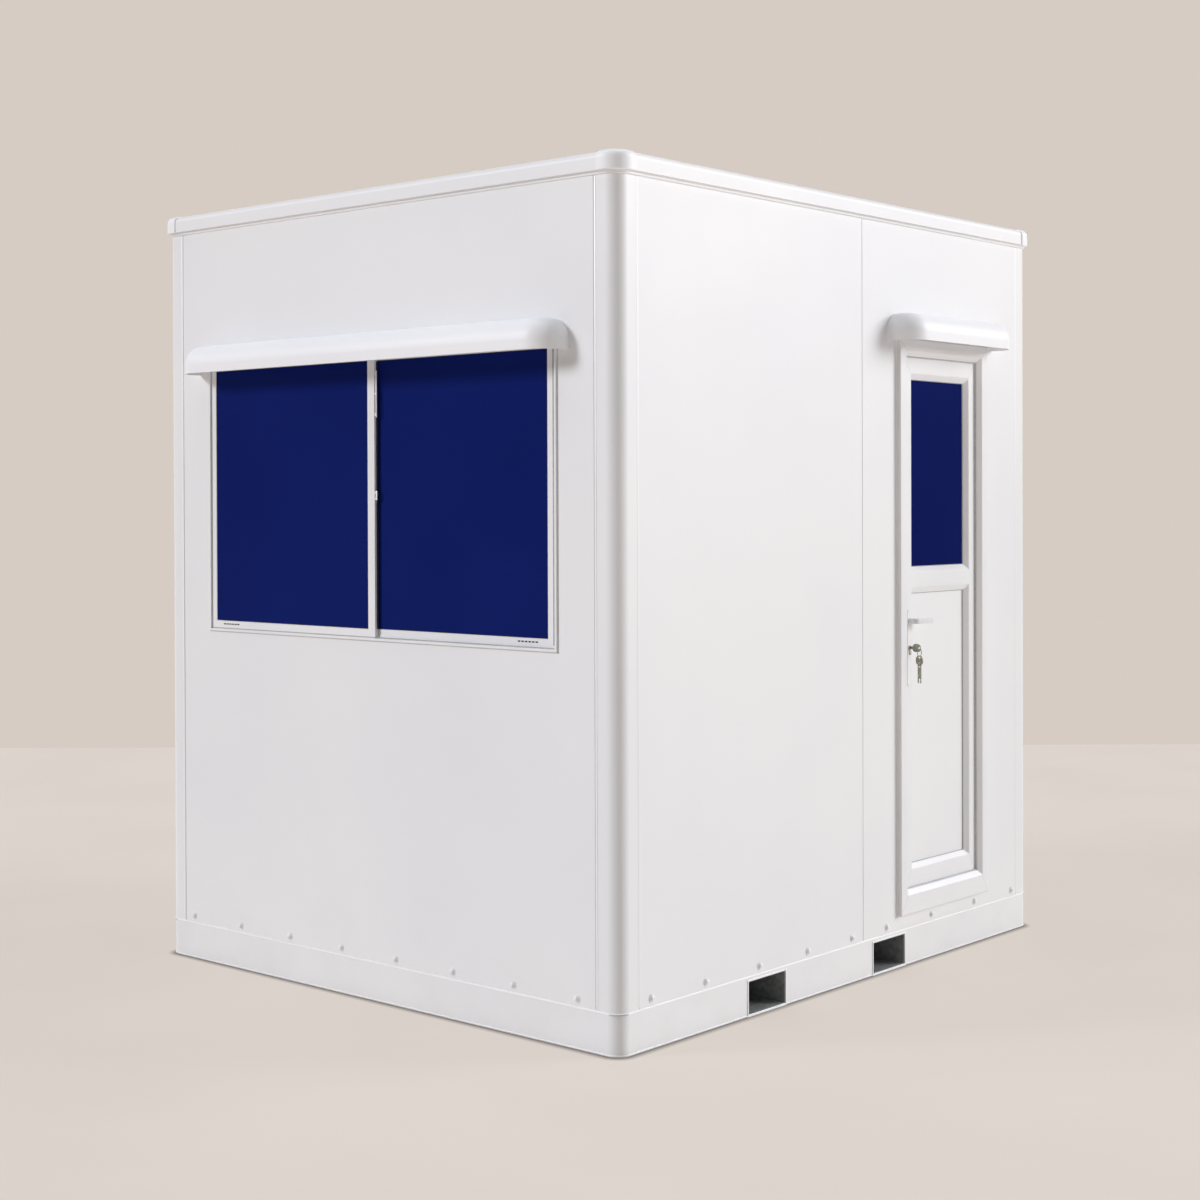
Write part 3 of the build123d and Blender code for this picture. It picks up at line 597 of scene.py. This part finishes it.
# Rows of drain slots in the sashes' bottom rails, drawn as thin bars whose dark colour is painted shade of
# the slots
drainSlot = {"count": 6, "share": 0.72, "tall": 0.0046, "thick": 0.0012, "edge": 0.0005, "up": 1.1885,
             "leftRow": (-0.747, -0.659), "rightRow": (0.642, 0.729)}
slots = []
for (left, right), track in ((drainSlot["leftRow"], 0.0), (drainSlot["rightRow"], rearTrack)):
    pitch = (right - left) / drainSlot["count"]
    for index in range(drainSlot["count"]):
        centre = (left + pitch * (index + 0.5), drainSlot["up"], track)
        size = (pitch * drainSlot["share"], drainSlot["tall"], drainSlot["thick"])
        slots.append(toWall(addBar("slot", centre, size, drainSlot["edge"]), "front"))
fit(joined("windowDrainSlots", slots), "slot", "cabin")

# Pull strip and catch on the meeting stile, with the lugs that hold both
windowPull = {
    "strip": {"centre": (0.0342, 1.956, -0.0022), "size": (0.0046, 0.150, 0.0024), "edge": 0.0008},
    "catch": {"centre": (0.0345, 1.630, -0.0022), "size": (0.0060, 0.030, 0.0034), "edge": 0.0010},
    "lug": {"across": 0.0300, "out": -0.0026, "size": (0.0060, 0.0070, 0.0018), "edge": 0.0004,
            "heights": (1.890, 1.956, 2.022, 1.620, 1.640)},
    "smooth": 40}
strip, catch, lug = windowPull["strip"], windowPull["catch"], windowPull["lug"]
pulls = [addBar("pull", strip["centre"], strip["size"], strip["edge"]),
         addBar("catch", catch["centre"], catch["size"], catch["edge"])]
for height in lug["heights"]:
    pulls.append(addBar("lug", (lug["across"], height, lug["out"]), lug["size"], lug["edge"]))
pulls = joined("windowPulls", [toWall(part, "front") for part in pulls])
fit(smoothed(pulls, windowPull["smooth"]), "edging", "cabin")

# A line of sealant round the window and one round the door
sealantLine = {"outside": 0.003, "band": 0.0034, "high": 0.0022, "edge": 0.0012}


def addSealant(name, wall, opening, look):
    wide, tall = [opening[size] + 2 * sealantLine["outside"] for size in ("wide", "tall")]
    line = addRing(name, (opening["across"], opening["up"]), wide, tall, sealantLine["band"],
                   0.0, sealantLine["high"], sealantLine["edge"])
    fit(toWall(line, wall), look, "cabin")


addSealant("windowSealant", "front", windowFrame, "sealant")
print("window trim done")

# Door trim: gaskets of the glass and the lower panel, and the stop seal under the frame's lip
doorGasket = {"bead": 0.018, "band": 0.0022, "low": -0.0222, "high": -0.0196, "edge": 0.0003}
stopSeal = {"outside": 0.0002, "band": 0.0042, "low": -0.0044, "edge": 0.0008}
rings = []
for infill in (doorGlass, doorPanel):
    wide, tall = [infill[size] - 2 * doorGasket["bead"] for size in ("wide", "tall")]
    ring = addRing("gasket", (infill["across"], infill["up"]), wide, tall, doorGasket["band"],
                   doorGasket["low"], doorGasket["high"], doorGasket["edge"])
    rings.append(toWall(ring, "right"))
fit(joined("doorGlazingGaskets", rings), "gasket", "door")

shrunk = 2 * (stopSeal["outside"] - frameLap)  # from the leaf's outline to the seal's
seal = addRing("doorStopSeal", (doorLeaf["across"], doorLeaf["up"]), doorLeaf["wide"] + shrunk,
               doorLeaf["tall"] + shrunk, stopSeal["band"], stopSeal["low"], 0.0, stopSeal["edge"])
fit(toWall(seal, "right"), "sealant", "cabin")
# the door's sealant takes the whiter edging: painted light that lifts it in the frame's shade
addSealant("doorSealant", "right", doorFrame, "edging")

# Painted shadow: a dark strip on the wall along the latch side and the foot of the door frame, where the
# frame's shade falls
paintedShadowLine = {"wide": 0.0020, "thick": 0.0018, "outside": 0.0008, "out": 0.0006, "edge": 0.0003,
             "sidePast": 0.004, "footPast": 0.006}
sideShadowLine = addBar("shadowStrip", (doorFrame["left"] - paintedShadowLine["outside"], doorFrame["up"], paintedShadowLine["out"]),
                 (paintedShadowLine["wide"], doorFrame["tall"] + paintedShadowLine["sidePast"], paintedShadowLine["thick"]),
                 paintedShadowLine["edge"])
footShadowLine = addBar("shadowStrip", (doorFrame["across"], doorFrame["low"] - paintedShadowLine["outside"], paintedShadowLine["out"]),
                 (doorFrame["wide"] + paintedShadowLine["footPast"], paintedShadowLine["wide"], paintedShadowLine["thick"]),
                 paintedShadowLine["edge"])
fit(joined("doorPaintedShadowLine", [toWall(shadowStrip, "right") for shadowStrip in (sideShadowLine, footShadowLine)]), "paintedShadowLine", "cabin")
print("door trim done")

# Rolled lips under the hoods
hoodLip = {"wire": 0.0024, "sides": 10, "inset": 0.0018, "rise": 0.0022, "corner": 0.088,
           "cornerSteps": 14, "smooth": 60}


def addHoodLip(name, wall, hood, projection):  # a rolled bead that follows the hood's open edge
    reach, half = projection - hoodLip["inset"], hood["wide"] / 2 - hoodLip["inset"]
    corner = hoodLip["corner"] - hoodLip["inset"]
    clearSelection()
    bpy.ops.mesh.primitive_circle_add(vertices=hoodLip["sides"], radius=hoodLip["wire"],
                                      location=(-half, 0, 0), rotation=(math.pi / 2, 0, 0))
    lip = bpy.context.object
    bpy.ops.object.transform_apply(location=True, rotation=True, scale=True)
    editAll(lip)
    pushOut(0, reach - corner, 0)
    bpy.ops.mesh.spin(steps=hoodLip["cornerSteps"], angle=-math.pi / 2, axis=(0, 0, 1),
                      center=(corner - half, reach - corner, 0))
    pushOut(2 * (half - corner), 0, 0)
    bpy.ops.mesh.spin(steps=hoodLip["cornerSteps"], angle=-math.pi / 2, axis=(0, 0, 1),
                      center=(half - corner, reach - corner, 0))
    pushOut(0, corner - reach, 0)
    bpy.ops.mesh.select_all(action="SELECT")
    bpy.ops.mesh.normals_make_consistent(inside=False)
    leaveEdit()
    level = Matrix.Translation((hood["across"], hood["low"] + hoodLip["rise"], 0))
    lip.data.transform(wallMatrix(wall) @ level @ turned(-90, "X") @ Matrix.Scale(-1, 4, (0, 1, 0)))
    lip.name = lip.data.name = name
    fit(smoothed(lip, hoodLip["smooth"]), "hood", "cabin")


windowHoodOut = -edges("window_hood")[0][1] - wallFace["front"]
doorHoodOut = edges("door_hood")[1][0] - wallFace["right"]
addHoodLip("windowHoodLip", "front", facing("window_hood", 0), windowHoodOut)
addHoodLip("doorHoodLip", "right", facing("door_hood", 1), doorHoodOut)
print("hood lips done")

# Beads along the edges of the corner posts
# The front beads' whiter white is painted highlight along the posts' edges.
postBead = {"low": 0.134, "high": 2.552, "sunk": 0.0006, "smooth": 30,
            "front": {"places": (-0.9705, 0.9705), "width": 0.0060, "proud": 0.0010, "edge": 0.0005,
                      "look": "edging", "walls": ("front", "rear")},
            "side": {"places": (-1.1000, 1.1000), "width": 0.0084, "proud": 0.0002, "edge": 0.0003,
                     "look": "post", "walls": ("right", "left")}}
for side in ("front", "side"):
    kind, beads = postBead[side], []
    out = (kind["proud"] - postBead["sunk"]) / 2
    size = (kind["width"], postBead["high"] - postBead["low"], kind["proud"] + postBead["sunk"])
    for wall in kind["walls"]:
        for place in kind["places"]:
            centre = (place, middle(postBead["low"], postBead["high"]), out)
            beads.append(toWall(addBar("bead", centre, size, kind["edge"]), wall))
    beads = smoothed(joined(side + "PostBeads", beads), postBead["smooth"])
    fit(beads, kind["look"], "cabin")

# Rims round the mouths of the fork pockets
# Their whiter white is painted highlight round the pocket mouths.
pocketRim = {"band": 0.0050, "proud": 0.0024, "edge": 0.0008}
rims = []
for wall, side in (("right", 1), ("left", -1)):
    for pocket in (facing("fork_pocket_front", 1), facing("fork_pocket_rear", 1)):
        wide, tall = [pocket[size] + 2 * pocketRim["band"] for size in ("wide", "tall")]
        rim = addRing("rim", (side * pocket["across"], pocket["up"]), wide, tall, pocketRim["band"],
                      0.0, pocketRim["proud"], pocketRim["edge"])
        rims.append(toWall(rim, wall))
fit(joined("pocketRims", rims), "edging", "cabin")

# Raised beads along the skirt's top edge and above its bottom edge
# The beads' whiter white is painted highlight along the skirt's edges.
skirtBead = {"bandShare": 2.5, "cornerSteps": 10, "smooth": 30,
             "skirtTopBead": {"low": 0.1238, "high": 0.1287, "proud": 0.0024, "edge": 0.0017},
             "skirtFootBead": {"low": 0.0036, "high": 0.0078, "proud": 0.0016, "edge": 0.0009}}
for name in ("skirtTopBead", "skirtFootBead"):
    settings = skirtBead[name]
    clearSelection()
    bpy.ops.mesh.primitive_plane_add(size=1, location=(0, 0, settings["low"]))
    bead = bpy.context.object
    bead.scale = [2 * (skirtHigh[axis] + settings["proud"]) for axis in (0, 1)] + [1]
    bpy.ops.object.transform_apply(location=True, rotation=True, scale=True)
    editAll(bead)
    bpy.ops.mesh.bevel(offset=postRadius + settings["proud"], segments=skirtBead["cornerSteps"],
                       affect="VERTICES")
    bpy.ops.mesh.select_all(action="SELECT")
    openAndRaise(skirtBead["bandShare"] * settings["proud"], settings["high"] - settings["low"])
    pickTop(bead)
    bpy.ops.mesh.bevel(offset=settings["edge"], segments=2, affect="EDGES")
    leaveEdit()
    fit(smoothed(joined(name, [bead]), skirtBead["smooth"]), "edging", "cabin")

# Seal in the joint under the bead at each rounded corner
footSeal = {"outside": 0.0024, "thick": 0.0016, "height": 0.0036, "level": 0.1243, "start": 8, "sweep": 74,
            "steps": 12, "smooth": 30}
seals = []
for quarter, sideX, sideY in ((270, 1, -1), (0, 1, 1), (90, -1, 1), (180, -1, -1)):
    clearSelection()
    bpy.ops.mesh.primitive_plane_add(size=1, location=(0, 0, 0))
    seal = bpy.context.object
    seal.scale = (footSeal["thick"], footSeal["height"], 1)
    bpy.ops.object.transform_apply(location=True, rotation=True, scale=True)
    upright = Matrix.Translation((postRadius + footSeal["outside"], 0, 0)) @ turned(90, "X")
    seal.data.transform(turned(footSeal["start"], "Z") @ upright)
    editAll(seal)
    bpy.ops.mesh.spin(steps=footSeal["steps"], angle=-math.radians(footSeal["sweep"]), center=(0, 0, 0),
                      axis=(0, 0, 1))
    bpy.ops.mesh.select_all(action="SELECT")
    bpy.ops.mesh.normals_make_consistent(inside=False)
    leaveEdit()
    corner = (sideX * cornerCentre[0], sideY * cornerCentre[1], footSeal["level"])
    seal.data.transform(Matrix.Translation(corner) @ turned(quarter, "Z"))
    seals.append(seal)
fit(smoothed(joined("postFootSeals", seals), footSeal["smooth"]), "sealant", "cabin")
print("post beads, pocket rims, skirt beads and foot seals done")

# Screws of the hinges and the inner plate, all on the inside of the door wall
screw = {"radius": 0.0034, "sides": 16, "rise": 0.0011, "rimShare": 0.35, "rimRise": 0.5,
         "driveShare": 0.3, "driveDepth": 0.9, "out": -0.064, "smooth": 30,
         "hinges": (0.450, 1.190, 1.950), "fromHinge": (0.012, 0.030), "leafRows": (0.789, 0.806),
         "frameRows": (0.841, 0.858), "plateRow": 0.368, "plateHeights": (0.980, 1.140)}


def addScrew(across, up):
    clearSelection()
    bpy.ops.mesh.primitive_cylinder_add(vertices=screw["sides"], radius=screw["radius"],
                                        depth=screw["rise"] * 2, location=(0, 0, 0))
    head = bpy.context.object
    editAll(head)
    pickTop(head)
    radius, rise = screw["radius"], screw["rise"]
    bpy.ops.mesh.inset(thickness=radius * screw["rimShare"], depth=rise * screw["rimRise"])
    bpy.ops.mesh.inset(thickness=radius * screw["driveShare"], depth=-rise * screw["driveDepth"])
    leaveEdit()
    facingIn = turned(180, "Y")
    head.data.transform(wallMatrix("right") @ Matrix.Translation((across, up, screw["out"])) @ facingIn)
    return head


leafScrews, frameScrews, reaches = [], [], screw["fromHinge"]
for hinge in screw["hinges"]:  # the leaf's half of a hinge is above its middle, the frame's half below
    leafScrews += [addScrew(row, hinge + reach) for row in screw["leafRows"] for reach in reaches]
    frameScrews += [addScrew(row, hinge - reach) for row in screw["frameRows"] for reach in reaches]
leafScrews += [addScrew(screw["plateRow"], height) for height in screw["plateHeights"]]
fit(smoothed(joined("leafScrews", leafScrews), screw["smooth"]), "nickel", "door")
fit(smoothed(joined("frameScrews", frameScrews), screw["smooth"]), "nickel", "cabin")
print("screws done")

# Studio floor and backdrop
shot = {"place": (4.739, -5.5005, 1.6087), "yaw": 41.039, "pitch": -0.511, "roll": -0.187, "lens": 59.25,
        "sensor": 36, "shift": -0.0675, "sight": 200}
studio = {"floor": (118, 112, 108), "floorShade": (115, 109, 105), "glow": (196, 188, 181),
          "glowShade": (194, 186, 179), "cloudScale": 0.8, "roughness": 0.9, "gloss": 0.1,
          "contact": (60, 56, 52), "contactAmount": 0.85, "contactFrom": -0.01, "contactTo": 0.034,
          "size": 80, "backLine": 12.97, "backdrop": (214, 204, 195), "sky": (0.90, 0.93, 1.0, 1.0),
          "skyStrength": 0.03}


def stagePaint(name, settings):  # part of the floor's light is its own, which keeps the shadows pale
    paint = Paint(name)
    cloud = paint.patches(settings["cloudScale"], 3.0)
    tone = paint.tint(cloud, settings["floor"], settings["floorShade"])
    own = paint.tint(cloud, settings["glow"], settings["glowShade"])
    # Painted contact shadow: the floor's colour and its glow turn dark close round the cabin's base
    pastX = (abs(paint.x) - cornerCentre[0]).maths("MAXIMUM", 0.0)
    pastY = (abs(paint.y) - cornerCentre[1]).maths("MAXIMUM", 0.0)
    off = (pastX * pastX + pastY * pastY).maths("SQRT") - postRadius  # how far out from the cabin's base
    contact = (1.0 - off.ramp(settings["contactFrom"], settings["contactTo"])) * settings["contactAmount"]
    tone = paint.tint(contact, tone, settings["contact"])
    own = paint.tint(contact, own, settings["contact"])
    return paint.finish(Base_Color=tone, Roughness=settings["roughness"],
                        Specular_IOR_Level=settings["gloss"], Emission_Color=own, Emission_Strength=1.0)


clearSelection()
floorMiddle = studio["backLine"] - studio["size"] / 2
bpy.ops.mesh.primitive_plane_add(size=studio["size"], location=(0, floorMiddle, 0))
ground = bpy.context.object
bpy.ops.object.transform_apply(location=True, rotation=True, scale=True)
ground.data.transform(Matrix.Translation((*shot["place"][:2], 0)) @ turned(shot["yaw"], "Z"))
ground.name = "studioFloor"
ground.data.materials.append(stagePaint("studioFloorPaint", studio))
ground.visible_shadow = False  # the bounce comes up through the floor

world = bpy.data.worlds.new("studioWorld")
world.use_nodes = True
bpy.context.scene.world = world
sky = NodeSheet(world.node_tree)
seen = sky.node("ShaderNodeBackground", values={"Color": colourOf(studio["backdrop"])})[0]
skyLight = {"Color": studio["sky"], "Strength": studio["skyStrength"]}
lit = sky.node("ShaderNodeBackground", values=skyLight)[0]
path = sky.node("ShaderNodeLightPath")
sight = path["Is Camera Ray"].maths("MAXIMUM", path["Is Glossy Ray"])
sight = sight.maths("MAXIMUM", path["Is Transmission Ray"])
mixed = sky.node("ShaderNodeMixShader", values={0: sight, 1: lit, 2: seen})[0]
sky.node("ShaderNodeOutputWorld", values={"Surface": mixed})

# Lamps: a sun's azimuth and elevation, in degrees, say where it shines from, and 0 is +X and 90 is +Y
suns = {
    "rightSoftbox": {"azimuth": 50, "elevation": 20, "spread": 31, "strength": 2.44,
                     "colour": (0.96, 0.965, 1.0)},
    "leftSoftbox": {"azimuth": -127, "elevation": 24, "spread": 16, "strength": 1.88,
                    "colour": (0.93, 0.94, 1.0)},
    "topSoftbox": {"azimuth": -90, "elevation": 84, "spread": 50, "strength": 1.1,
                   "colour": (0.92, 0.95, 1.0)},
    "floorBounce": {"azimuth": 40, "elevation": -50, "spread": 60, "strength": 0.6,
                    "colour": (0.96, 0.97, 1.0)},
}
highSoftbox = {"place": (4.2, -0.6, 4.4), "aim": (1.05, -0.3, 2.2), "strength": 10.5, "size": 2.0,
               "colour": (0.975, 0.985, 1.0)}
for name, settings in suns.items():
    clearSelection()
    bpy.ops.object.light_add(type="SUN", location=(0, 0, 5))
    lamp = bpy.context.object
    lamp.name = name
    lamp.data.energy, lamp.data.color = settings["strength"], settings["colour"]
    lamp.data.angle = math.radians(settings["spread"])
    tilt, heading = math.radians(90 - settings["elevation"]), math.radians(settings["azimuth"] + 90)
    lamp.rotation_euler = (tilt, 0, heading)
clearSelection()
bpy.ops.object.light_add(type="AREA", location=highSoftbox["place"])
lamp = bpy.context.object
lamp.name = "highSoftbox"
lamp.data.energy, lamp.data.color = highSoftbox["strength"], highSoftbox["colour"]
lamp.data.size = highSoftbox["size"]
beam = Vector(highSoftbox["place"]) - Vector(highSoftbox["aim"])
lamp.rotation_euler = beam.to_track_quat("Z", "Y").to_euler()

# Camera
camera = bpy.data.objects.new("photoCamera", bpy.data.cameras.new("photoCamera"))
bpy.context.scene.collection.objects.link(camera)
camera.data.lens, camera.data.sensor_width = shot["lens"], shot["sensor"]
camera.data.shift_y, camera.data.clip_end = shot["shift"], shot["sight"]
camera.location = shot["place"]
aim = turned(shot["yaw"], "Z") @ turned(90 + shot["pitch"], "X") @ turned(shot["roll"], "Z")
camera.rotation_euler = aim.to_euler()
bpy.context.scene.camera = camera
bpy.context.scene.view_settings.view_transform = "Standard"
print("stage, light and camera done")
